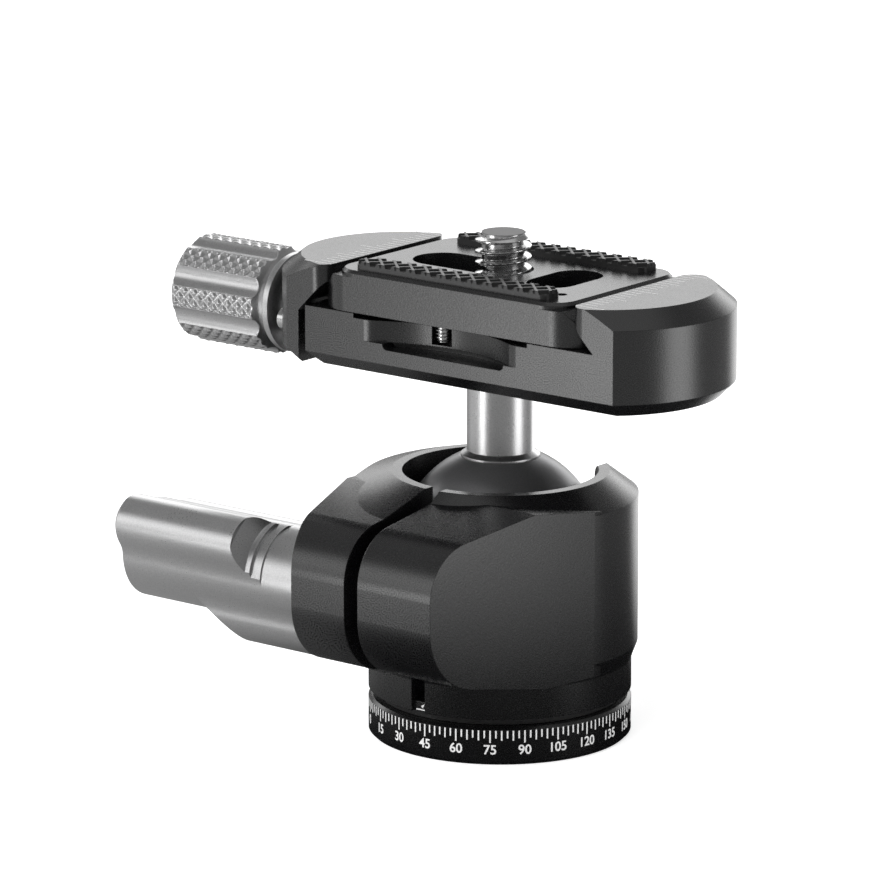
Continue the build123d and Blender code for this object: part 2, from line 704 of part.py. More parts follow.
with BuildPart() as movable_jaw:
    with BuildSketch(Plane.XY.offset(bar_bottom_z)) as jaw_plan:
        with BuildLine() as outline:
            corner_x = jaw_tip_x + jaw_bow_share * bar_half_w
            Polyline(
                (corner_x, -bar_half_w),
                (plate_x - lip_half, -bar_half_w),
                (plate_x - lip_half, bar_half_w),
                (corner_x, bar_half_w),
            )
            ThreePointArc((corner_x, bar_half_w), (jaw_tip_x, 0), (corner_x, -bar_half_w))
        make_face()
        fillet(jaw_plan.vertices().group_by(Axis.X)[-1], radius=lip_round)
    extrude(amount=bar_top_z - bar_bottom_z)
    chamfer(
        movable_jaw.edges().filter_by(GeomType.CIRCLE).group_by(Axis.Z)[-1].sort_by(Axis.X)[0],
        length=end_chamfer_h,
        length2=end_chamfer_w,
        reference=movable_jaw.faces().filter_by(GeomType.CYLINDER).sort_by(Axis.X)[0],
    )
    chamfer(
        movable_jaw.edges().filter_by(GeomType.CIRCLE).group_by(Axis.Z)[0].sort_by(Axis.X)[0],
        length=bar_chamfer,
    )
    with BuildSketch(Plane.XZ.offset(-bar_half_w - overrun)) as s:
        with BuildLine() as outline:
            Polyline(
                (jaw_in_x, bar_bottom_z - overrun),
                (jaw_in_x, jaw_flank_sum + jaw_in_x - plate_x),
                (plate_x - lip_half, lip_z),
                (plate_x, lip_z),
                (plate_x, bar_bottom_z - overrun),
                close=True,
            )
        make_face()
    extrude(amount=2 * (bar_half_w + overrun), mode=Mode.SUBTRACT)
    with BuildSketch(Plane.YZ.offset(jaw_in_x)) as s:
        with Locations((-pin_y, traction_z), (pin_y, traction_z)):
            Circle(pin_r + fit_gap)
    extrude(amount=-pin_in_jaw, mode=Mode.SUBTRACT)
    with BuildSketch(Plane.YZ.offset(jaw_in_x)) as s:
        with Locations((0, traction_z)):
            Circle(traction_r + fit_gap)
    extrude(amount=jaw_tip_x - jaw_in_x - overrun, mode=Mode.SUBTRACT)
    with BuildSketch(Plane.YZ.offset(jaw_tip_x + jaw_spot_depth)) as s:
        with Locations((0, traction_z)):
            Circle(knob_washer_r + fit_gap)
    extrude(amount=-overrun, mode=Mode.SUBTRACT)
movable_jaw.part.label = "movable_jaw"
export_step(movable_jaw.part, "parts/movable_jaw.step")

with BuildPart() as knob_washer:
    with BuildSketch(Plane.YZ.offset(jaw_tip_x + jaw_spot_depth - fit_gap)) as s:
        with Locations((0, traction_z)):
            Circle(knob_washer_r)
            Circle(traction_r + fit_gap, mode=Mode.SUBTRACT)
    extrude(amount=-knob_washer_h)
knob_washer.part.label = "knob_washer"
export_step(knob_washer.part, "parts/knob_washer.step")

with BuildPart() as traction_screw:
    with BuildSketch(Plane.YZ.offset(seat_left_x + traction_reach)) as s:
        with Locations((0, traction_z)):
            Circle(traction_r)
    extrude(amount=clamp_knob_end_x + clamp_knob_grip_l / 2 - seat_left_x - traction_reach)
traction_screw.part.label = "traction_screw"
export_step(traction_screw.part, "parts/traction_screw.step")

# Fluted clamp knob, turned about the traction screw's axis.
knob_axis = Axis((0, 0, traction_z), (1, 0, 0))
with BuildPart() as clamp_knob:
    with BuildSketch(Plane.XZ) as s:
        with BuildLine() as outline:
            ring_x = clamp_knob_grip_x + clamp_knob_bevel
            Polyline(
                (clamp_knob_end_x, traction_z),
                (clamp_knob_end_x, traction_z + clamp_knob_r - clamp_knob_edge),
                (clamp_knob_end_x + clamp_knob_edge, traction_z + clamp_knob_r),
                (clamp_knob_grip_x, traction_z + clamp_knob_r),
                (ring_x, traction_z + clamp_knob_groove_r),
                (ring_x + clamp_knob_ring_edge, traction_z + clamp_knob_ring_r),
                (ring_x + clamp_knob_ring_l - clamp_knob_ring_edge, traction_z + clamp_knob_ring_r),
                (ring_x + clamp_knob_ring_l, traction_z + clamp_knob_groove_r),
                (ring_x + clamp_knob_ring_l, traction_z + clamp_knob_neck_r),
                (clamp_knob_inner_x, traction_z + clamp_knob_neck_r),
                (clamp_knob_inner_x, traction_z),
                close=True,
            )
        make_face()
    revolve(axis=knob_axis)
    with BuildSketch(Plane.YZ.offset(clamp_knob_end_x)) as s:
        with Locations((0, traction_z)):
            first_flute = turn / flute_count / 2
            with PolarLocations(clamp_knob_r + flute_r - flute_depth, flute_count, start_angle=first_flute):
                Circle(flute_r)
    extrude(amount=clamp_knob_grip_l, mode=Mode.SUBTRACT)
    with BuildSketch(Plane.YZ.offset(clamp_knob_inner_x)) as s:
        with Locations((0, traction_z)):
            Circle(traction_r)
    extrude(amount=clamp_knob_end_x + clamp_knob_grip_l / 2 - clamp_knob_inner_x, mode=Mode.SUBTRACT)
clamp_knob.part.label = "clamp_knob"
export_step(clamp_knob.part, "parts/clamp_knob.step")

# Dovetail plate with its strips and screws
with BuildPart() as qr_plate:
    with BuildSketch(Plane.XY.offset(plate_z)) as s:
        with Locations((plate_x, 0)):
            RectangleRounded(2 * dovetail_half, 2 * plate_half_w, plate_corner)
    extrude(amount=bar_top_z - plate_z)
    with BuildSketch(Plane.XZ.offset(-plate_half_w - overrun)) as s:
        with Locations((plate_x, 0)):
            Polygon(
                (-dovetail_half, plate_z),
                (dovetail_half, plate_z),
                (dovetail_half, plate_z + flange_side_h),
                (neck_half, flank_sum - neck_half),
                (neck_half, bar_top_z),
                (-neck_half, bar_top_z),
                (-neck_half, flank_sum - neck_half),
                (-dovetail_half, plate_z + flange_side_h),
                align=None,
            )
    extrude(amount=2 * (plate_half_w + overrun), mode=Mode.INTERSECT)
    neck_z = flank_sum - neck_half
    with BuildSketch(Plane.XY.offset(neck_z)) as s:
        with Locations((plate_x, 0)):
            Rectangle(2 * dovetail_half, 2 * (plate_half_w + overrun))
            RectangleRounded(2 * neck_half, 2 * plate_half_w, neck_corner, mode=Mode.SUBTRACT)
    extrude(amount=bar_top_z - neck_z, mode=Mode.SUBTRACT)
    chamfer(qr_plate.faces().sort_by(Axis.Z)[-1].edges(), length=plate_edge)
    # Slot for the camera screw, with a wider shelf below, and the slot across.
    slot_mid_x = slot_x - slot_travel / 2
    with BuildSketch(Plane.XY.offset(plate_z)) as s:
        with Locations((slot_mid_x, 0)):
            SlotCenterToCenter(slot_travel, 2 * slot_half_w)
    extrude(amount=bar_top_z - plate_z, mode=Mode.SUBTRACT)
    with BuildSketch(Plane.XY.offset(plate_z)) as s:
        with Locations((slot_mid_x, 0)):
            SlotCenterToCenter(slot_travel, 2 * slot_shelf_half_w)
    extrude(amount=slot_shelf_h, mode=Mode.SUBTRACT)
    with BuildSketch(Plane.XY.offset(plate_z)) as s:
        with Locations((side_slot_x, 0)):
            SlotOverall(2 * side_slot_half_l, 2 * side_slot_half_w, rotation=turn / 4)
    extrude(amount=bar_top_z - plate_z, mode=Mode.SUBTRACT)
    with BuildSketch(Plane.XY.offset(bar_top_z)) as s:
        with Locations((peg_hole_x, peg_hole_y)):
            Circle(peg_hole_r)
    extrude(amount=-peg_hole_depth, mode=Mode.SUBTRACT)
    # Grooves in which the rubber strips are bonded, and the stop screw's hole.
    with BuildSketch(Plane.XY.offset(strip_z)) as s:
        with Locations((plate_x, -strip_mid_y), (plate_x, strip_mid_y)):
            RectangleRounded(2 * strip_half_l, strip_w, strip_corner)
    extrude(amount=strip_sink, mode=Mode.SUBTRACT)
    with BuildSketch(Plane.XY.offset(plate_z)) as s:
        with Locations((stop_screw_x, stop_screw_y)):
            Circle(stop_screw_r)
    extrude(amount=stop_screw_hold, mode=Mode.SUBTRACT)
qr_plate.part.label = "qr_plate"
export_step(qr_plate.part, "parts/qr_plate.step")

with BuildPart() as front_strip:
    with BuildSketch(Plane.XY.offset(strip_z)) as s:
        with Locations((plate_x, -strip_mid_y)):
            RectangleRounded(2 * strip_half_l, strip_w, strip_corner)
    extrude(amount=strip_sink + strip_h)
front_strip.part.label = "front_strip"
export_step(front_strip.part, "parts/front_strip.step")

with BuildPart() as rear_strip:
    with BuildSketch(Plane.XY.offset(strip_z)) as s:
        with Locations((plate_x, strip_mid_y)):
            RectangleRounded(2 * strip_half_l, strip_w, strip_corner)
    extrude(amount=strip_sink + strip_h)
rear_strip.part.label = "rear_strip"
export_step(rear_strip.part, "parts/rear_strip.step")

with BuildPart() as stop_screw:
    with BuildSketch(Plane.XY.offset(plate_z + stop_screw_hold)) as s:
        with Locations((stop_screw_x, stop_screw_y)):
            Circle(stop_screw_r)
    extrude(amount=-(stop_screw_hold + stop_screw_hang))
stop_screw.part.label = "stop_screw"
export_step(stop_screw.part, "parts/stop_screw.step")

with BuildPart() as screw_ring:
    with BuildSketch(Plane.XY.offset(shelf_z - fit_gap)) as s:
        with Locations((slot_x, 0)):
            Circle(camera_head_r)
            Circle(camera_neck_r + fit_gap, mode=Mode.SUBTRACT)
    extrude(amount=-screw_ring_h)
screw_ring.part.label = "screw_ring"
export_step(screw_ring.part, "parts/screw_ring.step")

camera_head_top_z = shelf_z - screw_ring_h - 2 * fit_gap
with BuildPart() as camera_screw:
    with BuildSketch(Plane.XY.offset(camera_head_top_z)) as s:
        with Locations((slot_x, 0)):
            Circle(camera_head_r)
    extrude(amount=-camera_head_h)
    with BuildSketch(Plane.XY.offset(camera_head_top_z)) as s:
        with Locations((slot_x, 0)):
            Circle(camera_neck_r)
    extrude(amount=bar_top_z - camera_head_top_z)
    with BuildSketch(Plane.XY.offset(bar_top_z)) as s:
        with Locations((slot_x, 0)):
            Circle(camera_screw_r)
    extrude(amount=camera_screw_tip_z - bar_top_z)
    chamfer(camera_screw.edges().group_by(Axis.Z)[-1], length=camera_screw_tip)
    with BuildSketch(Plane.XY.offset(camera_head_top_z - camera_head_h)) as s:
        with Locations((slot_x, 0)):
            Rectangle(2 * camera_head_r, camera_slot_w)
    extrude(amount=camera_slot_depth, mode=Mode.SUBTRACT)
camera_screw.part.label = "camera_screw"
export_step(camera_screw.part, "parts/camera_screw.step")

# Lock knob: a turned core with three lobes. The lobe in front and the one behind end in a turned
# scoop beside the ear, and the lower one starts there and tapers out towards the knob's end.
lock_axis = Axis((0, lock_y, lock_z), (1, 0, 0))
lobe_pitch = turn / lobe_count
lobe_mid_r = lobe_tip_r - lobe_round_r
with BuildPart() as lock_grip:
    with BuildSketch(Plane.YZ.offset(lock_end_x)) as grip_section:
        with Locations((lock_y, lock_z)):
            Circle(lock_core_r)
            with PolarLocations(lobe_mid_r, lobe_count - 1, lobe_deg, -2 * lobe_pitch):
                Circle(lobe_round_r)
        fillet(grip_section.vertices(), radius=lobe_blend_r)
    extrude(amount=scoop_end_x - lock_end_x)
    with BuildSketch(Plane.XZ.offset(-lock_y)) as s:
        with BuildLine() as outline:
            ledge_l = scoop_ledge_share * (scoop_end_x - scoop_start_x)
            Polyline(
                (scoop_end_x + overrun, lock_z + lock_core_r + scoop_rise),
                (scoop_end_x - ledge_l, lock_z + lock_core_r + scoop_rise),
                (scoop_end_x - ledge_l, lock_z + lock_core_r + scoop_step),
                (scoop_start_x + ledge_l, lock_z + lock_core_r + scoop_step),
                (scoop_start_x, lock_z + lobe_tip_r - scoop_step),
                (scoop_start_x, lock_z + lobe_tip_r + overrun),
                (scoop_end_x + overrun, lock_z + lobe_tip_r + overrun),
                close=True,
            )
        make_face()
    revolve(axis=lock_axis, mode=Mode.SUBTRACT)

with BuildPart() as lock_wing:
    with BuildSketch(Plane.YZ.offset(wing_start_x)) as wing_section:
        with Locations((lock_y, lock_z)):
            Circle(lock_core_r)
            with PolarLocations(lobe_mid_r, lobe_count, start_angle=lobe_deg):
                Circle(lobe_round_r)
        fillet(wing_section.vertices(), radius=lobe_blend_r)
        # Only the lower lobe's third of the section is kept, beside the whole core.
        third_x = 2 * lobe_tip_r
        third_y = third_x * math.tan(math.radians(lobe_pitch / 2))
        with Locations(Location((lock_y, lock_z, 0), lobe_deg + lobe_pitch)):
            Polygon((0, 0), (third_x, -third_y), (third_x, third_y), align=None, mode=Mode.INTERSECT)
        with Locations((lock_y, lock_z)):
            Circle(lock_core_r)
    extrude(amount=lock_inner_x - lock_neck_l - wing_start_x)
    with BuildSketch(Plane.XZ.offset(-lock_y)) as s:
        with BuildLine() as outline:
            Polyline(
                (wing_start_x - overrun, lock_z + lock_core_r),
                (wing_start_x, lock_z + lock_core_r),
                (wing_tip_x, lock_z + lobe_tip_r),
                (wing_tip_x, lock_z + lobe_tip_r + overrun),
                (wing_start_x - overrun, lock_z + lobe_tip_r + overrun),
                close=True,
            )
        make_face()
    revolve(axis=lock_axis, mode=Mode.SUBTRACT)

with BuildPart() as lock_knob:
    add(lock_grip.part)
    add(lock_wing.part)
    with BuildSketch(Plane.YZ.offset(lock_inner_x)) as s:
        with Locations((lock_y, lock_z)):
            Circle(lock_neck_r)
    extrude(amount=-lock_neck_l)
    chamfer(lock_knob.edges().group_by(Axis.X)[0], length=lock_edge)
    with BuildSketch(Plane.YZ.offset(lock_inner_x)) as s:
        with Locations((lock_y, lock_z)):
            Circle(stud_r)
    extrude(amount=-stud_in_knob, mode=Mode.SUBTRACT)
lock_knob.part.label = "lock_knob"
export_step(lock_knob.part, "parts/lock_knob.step")

with BuildPart() as lock_stud:
    with BuildSketch(Plane.YZ.offset(lock_inner_x - stud_in_knob)) as s:
        with Locations((lock_y, lock_z)):
            Circle(stud_r)
    extrude(amount=stud_in_knob - lock_inner_x + slit_w / 2 + stud_in_ear - fit_gap)
lock_stud.part.label = "lock_stud"
export_step(lock_stud.part, "parts/lock_stud.step")

with BuildPart() as lock_washer:
    with BuildSketch(Plane.YZ.offset(washer_face_x)) as s:
        with Locations((lock_y, lock_z)):
            Circle(lock_washer_r)
            Circle(stud_r + fit_gap, mode=Mode.SUBTRACT)
    extrude(amount=-lock_washer_h)
lock_washer.part.label = "lock_washer"
export_step(lock_washer.part, "parts/lock_washer.step")
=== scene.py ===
# %% [markdown]
# # A small ball head, dressed for the studio
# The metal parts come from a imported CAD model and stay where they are. This lesson adds what a CAD
# model leaves out: the white degree scale, threads, knurling, the pattern of the rubber strips, and
# the finish of every surface. Everything is in metres, in the CAD model's own frame.

# %% The frame
import math
from collections import namedtuple

import bmesh
import bpy
from mathutils import Matrix, Vector


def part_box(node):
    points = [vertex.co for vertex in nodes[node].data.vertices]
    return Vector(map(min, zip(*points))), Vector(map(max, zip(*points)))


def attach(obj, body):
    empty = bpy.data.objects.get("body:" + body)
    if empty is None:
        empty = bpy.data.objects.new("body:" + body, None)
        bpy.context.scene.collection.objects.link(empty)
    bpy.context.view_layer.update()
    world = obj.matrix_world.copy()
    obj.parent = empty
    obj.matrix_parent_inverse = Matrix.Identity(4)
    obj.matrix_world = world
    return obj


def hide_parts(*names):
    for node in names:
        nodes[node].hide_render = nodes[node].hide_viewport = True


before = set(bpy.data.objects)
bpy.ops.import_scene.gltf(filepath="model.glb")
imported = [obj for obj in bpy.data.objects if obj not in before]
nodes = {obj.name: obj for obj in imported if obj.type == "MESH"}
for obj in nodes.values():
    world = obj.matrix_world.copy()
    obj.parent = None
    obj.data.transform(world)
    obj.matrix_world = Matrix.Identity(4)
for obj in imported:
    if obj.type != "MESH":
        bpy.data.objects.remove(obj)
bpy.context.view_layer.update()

MM = 0.001
TURN = 2 * math.pi

# %% [markdown]
# ## Node sums in plain Python
# A node tree is easier to read as a sum than as a web of links. The class below wraps one socket.
# An operator on it adds a Math node and gives a new wrapped socket back. Any other node comes from
# the one method `node`, which takes its type, its settings and the values or links of its inputs.

# %% A socket with operators
# A Mix node has sockets of the same names for each type of data, so its colours go by number.
MIX_FACTOR, MIX_LOW, MIX_HIGH, MIX_RESULT = 0, 6, 7, 2


class Wire:
    """One output socket of a node tree. Python's operators on it add Math nodes."""

    def __init__(self, tree, socket):
        self.tree = tree
        self.socket = socket

    @staticmethod
    def node(tree, kind, settings, inputs, output=0):
        """Adds any node and gives one of its outputs, picked by number or name."""
        made = tree.nodes.new(kind)
        for name, value in settings.items():
            setattr(made, name, value)
        for name, value in inputs.items():
            if isinstance(value, Wire):
                tree.links.new(value.socket, made.inputs[name])
            else:
                made.inputs[name].default_value = value
        return Wire(tree, made.outputs[output])

    def calc(self, operation, *others):
        """One Math node. This socket is its first input."""
        inputs = dict(enumerate((self,) + others))
        return Wire.node(self.tree, "ShaderNodeMath", {"operation": operation}, inputs)

    def __add__(self, other):
        return self.calc("ADD", other)

    __radd__ = __add__

    def __sub__(self, other):
        return self.calc("SUBTRACT", other)

    def __rsub__(self, other):
        return self.calc("MULTIPLY", -1.0).calc("ADD", other)

    def __mul__(self, other):
        return self.calc("MULTIPLY", other)

    __rmul__ = __mul__

    def __truediv__(self, other):
        return self.calc("DIVIDE", other)

    def smooth(self, low, high):
        """0 below low, 1 above high, with a soft step between."""
        settings = {"interpolation_type": "SMOOTHSTEP"}
        inputs = {"Value": self, "From Min": low, "From Max": high}
        return Wire.node(self.tree, "ShaderNodeMapRange", settings, inputs)

    def mix(self, low, high):
        """A colour between low and high, by this socket's value."""
        inputs = {MIX_FACTOR: self, MIX_LOW: low, MIX_HIGH: high}
        return Wire.node(self.tree, "ShaderNodeMix", {"data_type": "RGBA"}, inputs, MIX_RESULT)

    def split(self):
        """The X, Y and Z of a vector."""
        part = self.tree.nodes.new("ShaderNodeSeparateXYZ")
        self.tree.links.new(self.socket, part.inputs[0])
        return [Wire(self.tree, output) for output in part.outputs]


# %% [markdown]
# ## A blank finish
# Each finish starts from one Principled shader. Numbers that are the same all over are set on its
# own sockets, and only what changes over the surface is linked: colour, roughness and bump. The
# pattern space is Object coordinates, which on these pieces are the same as the room's metres.

# %% Finish helpers
NOISE_ROUGHNESS = 0.55
EDGE_ROUND = 0.12 * MM
EDGE_SAMPLES = 6


class Finish:
    """A material with one Principled shader and the piece's own coordinates."""

    def __init__(self, name, **constants):
        self.material = bpy.data.materials.new(name)
        self.material.use_nodes = True
        self.tree = self.material.node_tree
        self.shader = self.tree.nodes["Principled BSDF"]
        for socket, value in constants.items():
            self.shader.inputs[socket.replace("_", " ")].default_value = value
        self.place = self.node("ShaderNodeTexCoord", {}, {}, "Object")

    def node(self, kind, settings, inputs, output=0):
        return Wire.node(self.tree, kind, settings, inputs, output)

    def noise(self, blob, detail=2.0, squeeze=(1.0, 1.0, 1.0)):
        """Cloudy noise, whose blobs measure about `blob` metres, squeezed along the axes."""
        scaled = self.node("ShaderNodeVectorMath", {"operation": "MULTIPLY"}, {0: self.place, 1: squeeze})
        inputs = {"Vector": scaled, "Scale": 1 / blob, "Detail": detail, "Roughness": NOISE_ROUGHNESS}
        return self.node("ShaderNodeTexNoise", {}, inputs)

    def feed(self, socket, value):
        """Links a value to one of the shader's inputs."""
        self.tree.links.new(value.socket, self.shader.inputs[socket])

    def bump(self, height, depth):
        """A bump whose height, from 0 to 1, stands for `depth` metres, over softly rounded edges."""
        rounded = self.node("ShaderNodeBevel", {"samples": EDGE_SAMPLES}, {"Radius": EDGE_ROUND})
        inputs = {"Height": height, "Distance": depth, "Strength": 1.0, "Normal": rounded}
        self.feed("Normal", self.node("ShaderNodeBump", {}, inputs))


def grey(level, blue=None):
    """An opaque grey, whose blue may differ a little."""
    return (level, level, level if blue is None else blue, 1.0)


def cloudy_finish(name, blob, colours, roughness, detail=2.0, **constants):
    """A finish with one noise, and that noise. Roughness is its lowest value and what is added."""
    finish = Finish(name, **constants)
    cloud = finish.noise(blob, detail)
    finish.feed("Base Color", cloud.mix(*colours))
    lowest, more = roughness
    finish.feed("Roughness", cloud * more + lowest)
    return finish, cloud


def dress(finish, *names):
    """Gives one finish to CAD nodes."""
    for name in names:
        nodes[name].data.materials.clear()
        nodes[name].data.materials.append(finish.material)


# %% [markdown]
# ## Black anodised aluminium
# The housing, the clamp and the plate are blasted with fine beads and anodised black. Seen close,
# the skin is a fine even grain. Seen from a step away it gives a soft grey sheen where a lamp is
# mirrored, and stays nearly black elsewhere. The skin is a clear oxide over dark metal, so it is
# modelled as a black base with a strong gloss rather than as bare metal.

# %% Black anodised finish
GRAIN = 0.16 * MM
GRAIN_DETAIL = 1.0
anodised = Finish("black_anodised", Metallic=0.0, Specular_IOR_Level=1.0)
black_grain = anodised.noise(GRAIN, GRAIN_DETAIL)
black_cloud = anodised.noise(6 * MM)
anodised.feed("Base Color", black_cloud.mix(grey(0.003, 0.0033), grey(0.006, 0.0064)))
anodised.feed("Roughness", black_grain * 0.14 + black_cloud * 0.04 + 0.18)
anodised.bump(black_grain, 0.009 * MM)
dress(anodised, "housing", "clamp_bar", "movable_jaw", "qr_plate", "base_dial")
print("grain of the black parts in mm:", GRAIN / MM)

# %% [markdown]
# ## Silver satin
# The knobs and the neck have the same blasted skin, left silver. Bare metal is mirrored light only,
# so the finish is fully metallic, and the grain shows in its colour too.

# %% Silver finish
silver = Finish("silver_satin", Metallic=1.0)
silver_grain = silver.noise(GRAIN, GRAIN_DETAIL)
silver_cloud = silver.noise(5 * MM)
silver.feed("Base Color", silver_grain.mix(grey(0.55, 0.556), grey(0.80)))
silver.feed("Roughness", silver_grain * 0.12 + silver_cloud * 0.05 + 0.22)
silver.bump(silver_grain, 0.010 * MM)
dress(silver, "stem", "clamp_knob", "lock_knob", "pan_spindle", "seat_carrier")

# %% [markdown]
# ## The ball
# The ball has a hard dark skin, turned and then polished a little, so its grain is finer than the
# housing's and it mirrors a soft image of the lamps.

# %% Ball finish
BALL_GRAIN_SHARE = 0.8
dark_ball, ball_grain = cloudy_finish(
    "ball_dark", GRAIN * BALL_GRAIN_SHARE, (grey(0.14, 0.144), grey(0.21, 0.214)), (0.27, 0.10),
    detail=GRAIN_DETAIL, Metallic=0.75)
dark_ball.bump(ball_grain, 0.005 * MM)
dress(dark_ball, "ball")

# %% [markdown]
# ## Steel, springs, plastic and rubber
# Screws and pins are bright steel with faint streaks along their length. The springs are plain dark
# steel, and the thin washers and the liner are slippery plastic. The camera screw's end is rough and
# matte over its last hundredths of a millimetre, and its colour there is painted darker: painted shade
# that tones down the bright panel it mirrors.

# %% Small parts' finishes
ROUGH_END_AND_SHADE_FROM = 57.90 * MM
ROUGH_END_AND_SHADE_TO = 57.96 * MM
STREAKS = (1.0, 1.0, 0.2)
steel = Finish("turned_steel", Metallic=1.0)
streak = steel.noise(0.25 * MM, GRAIN_DETAIL, STREAKS)
_, _, steel_height = steel.place.split()
# The screw's top is painted darker here: painted shade that tones down the bright panel it mirrors. The extra
# roughness there is the matte end's own.
rough_end_and_shade = steel_height.smooth(ROUGH_END_AND_SHADE_FROM, ROUGH_END_AND_SHADE_TO)
steel_streaks_and_shade = (streak * 0.18 + 0.60) * (1 - rough_end_and_shade * 0.72)
steel.feed("Base Color", steel_streaks_and_shade.mix(grey(0.0), grey(1.0)))
steel.feed("Roughness", streak * 0.12 + rough_end_and_shade * 0.35 + 0.12)
dress(steel, "camera_screw", "stop_screw", "jaw_pins", "traction_screw", "lock_stud")

dark_steel, _ = cloudy_finish(
    "dark_steel", 0.8 * MM, (grey(0.10, 0.105), grey(0.2, 0.205)), (0.3, 0.15), Metallic=1.0)
dress(dark_steel, "dial_screws", "clamp_bolt", "spindle_ring", "seat_spring", "screw_ring")

slippery, _ = cloudy_finish(
    "washer_plastic", 1.0 * MM, (grey(0.012), grey(0.025)), (0.45, 0.1), Metallic=0.0)
dress(slippery, "pan_washer", "knob_washer", "lock_washer")

liner_plastic, _ = cloudy_finish(
    "liner_plastic", 1.0 * MM, (grey(0.66, 0.62), grey(0.76, 0.72)), (0.4, 0.1), Metallic=0.0)
dress(liner_plastic, "ball_liner")

rubber, rubber_grain = cloudy_finish(
    "strip_rubber", 0.1 * MM, (grey(0.006), grey(0.014)), (0.32, 0.15),
    Metallic=0.0, Specular_IOR_Level=0.7)
rubber.bump(rubber_grain, 0.008 * MM)
dress(rubber, "front_strip", "rear_strip")

# %% [markdown]
# ## Marks in the anodising
# The degree scale, the index and the two jaw scales are burnt through the black skin with a laser,
# which leaves pale matt metal. Here they are thin slabs that stand a hair's breadth off the surface,
# because a slab keeps a sharp edge at any distance.

# %% Marks' finish
MARK_PROUD = 0.015 * MM
marks, _ = cloudy_finish(
    "laser_marks", 0.2 * MM, (grey(0.62), grey(0.86)), (0.5, 0.1),
    Metallic=0.0, Specular_IOR_Level=0.3)

# %% [markdown]
# ## Shapes that follow a rule
# Ticks, threads and knurling are rules rather than drawings, so each is a small Geometry Nodes tree.
# `grow` builds the tree, sets its named sizes, evaluates it once and keeps the plain mesh. The same
# `Wire` sums write the rules, because a Geometry Nodes tree has the same Math node.


# %% Growing a mesh from a tree
def link_new(name, data):
    """A new object in the scene, with this data."""
    thing = bpy.data.objects.new(name, data)
    bpy.context.scene.collection.objects.link(thing)
    return thing


def mesh_of(name, made):
    """Turns a bmesh into a mesh and frees it."""
    mesh = bpy.data.meshes.new(name)
    made.to_mesh(mesh)
    made.free()
    return mesh


def evaluated_mesh(holder):
    """The plain mesh that an object gives once its text or nodes are evaluated. The object goes."""
    graph = bpy.context.evaluated_depsgraph_get()
    mesh = bpy.data.meshes.new_from_object(holder.evaluated_get(graph), depsgraph=graph)
    bpy.data.objects.remove(holder)
    return mesh


def grow(name, finish, sizes, build):
    """A mesh made by a node tree, whose named inputs are the sizes. build(tree, size) gives a shape."""
    tree = bpy.data.node_groups.new(name, "GeometryNodeTree")
    tree.interface.new_socket("Geometry", in_out="OUTPUT", socket_type="NodeSocketGeometry")
    for label, value in sizes.items():
        kind = "NodeSocketInt" if isinstance(value, int) else "NodeSocketFloat"
        tree.interface.new_socket(label, in_out="INPUT", socket_type=kind)
    entry = tree.nodes.new("NodeGroupInput")
    size = {label: Wire(tree, entry.outputs[label]) for label in sizes}
    real = Wire.node(tree, "GeometryNodeRealizeInstances", {}, {0: build(tree, size)})
    paint = {"Geometry": real, "Material": finish.material}
    done = Wire.node(tree, "GeometryNodeSetMaterial", {}, paint)
    tree.links.new(done.socket, tree.nodes.new("NodeGroupOutput").inputs[0])
    holder = link_new(name, bpy.data.meshes.new(name))
    modifier = holder.modifiers.new(name, "NODES")
    modifier.node_group = tree
    for item in tree.interface.items_tree:
        if item.in_out == "INPUT":
            modifier[item.identifier] = sizes[item.name]
    return evaluated_mesh(holder)


# %% [markdown]
# ## A row of ticks
# One tree serves the round scale on the dial and the straight ones on the jaws. Its points are
# numbered, and a tick's number says how long it is. The round scale has a tick every 2.5 degrees.

# %% Ticks
BOX_FACES = 6


def tick_row(tree, size):
    """Boxes along a line. Every `Medium every` and `Long every` one is longer."""
    line = {"Count": size["Count"], "Start Location": (0, 0, 0), "Offset": (0, 0, 0)}
    points = Wire.node(tree, "GeometryNodeMeshLine", {}, line)
    number = Wire.node(tree, "GeometryNodeInputIndex", {}, {}) + size["First number"]
    is_medium = number.calc("FLOORED_MODULO", size["Medium every"]).calc("LESS_THAN", 0.5)
    is_long = number.calc("FLOORED_MODULO", size["Long every"]).calc("LESS_THAN", 0.5)
    medium_more = is_medium * (size["Medium"] - size["Short"])
    long_more = is_long * (size["Long"] - size["Medium"])
    length = size["Short"] + medium_more + long_more
    # On the dial `Bend` is its radius. On a jaw it is zero and the row is straight, along Y.
    angle = number * size["Step angle"] + size["Start angle"]
    east = size["Bend"] * angle.calc("COSINE")
    north = size["Bend"] * angle.calc("SINE") + number * size["Step"]
    spot = Wire.node(tree, "ShaderNodeCombineXYZ", {}, {0: east, 1: north, 2: 0.0})
    placed = Wire.node(tree, "GeometryNodeSetPosition", {}, {"Geometry": points, "Position": spot})
    box = Wire.node(tree, "GeometryNodeMeshCube", {}, {"Size": (1, 1, 1)})
    # The box hangs down from its point on the dial, and lies outwards from it on a jaw.
    lower = Wire.node(tree, "GeometryNodeTransform", {}, {"Geometry": box, "Translation": (0, 0, -0.5)})
    turned = Wire.node(tree, "ShaderNodeCombineXYZ", {}, {0: 0.0, 1: 0.0, 2: angle})
    shape = Wire.node(tree, "ShaderNodeCombineXYZ", {}, {0: size["Proud"], 1: size["Width"], 2: length})
    inputs = {"Points": placed, "Instance": lower, "Rotation": turned, "Scale": shape}
    return Wire.node(tree, "GeometryNodeInstanceOnPoints", {}, inputs)


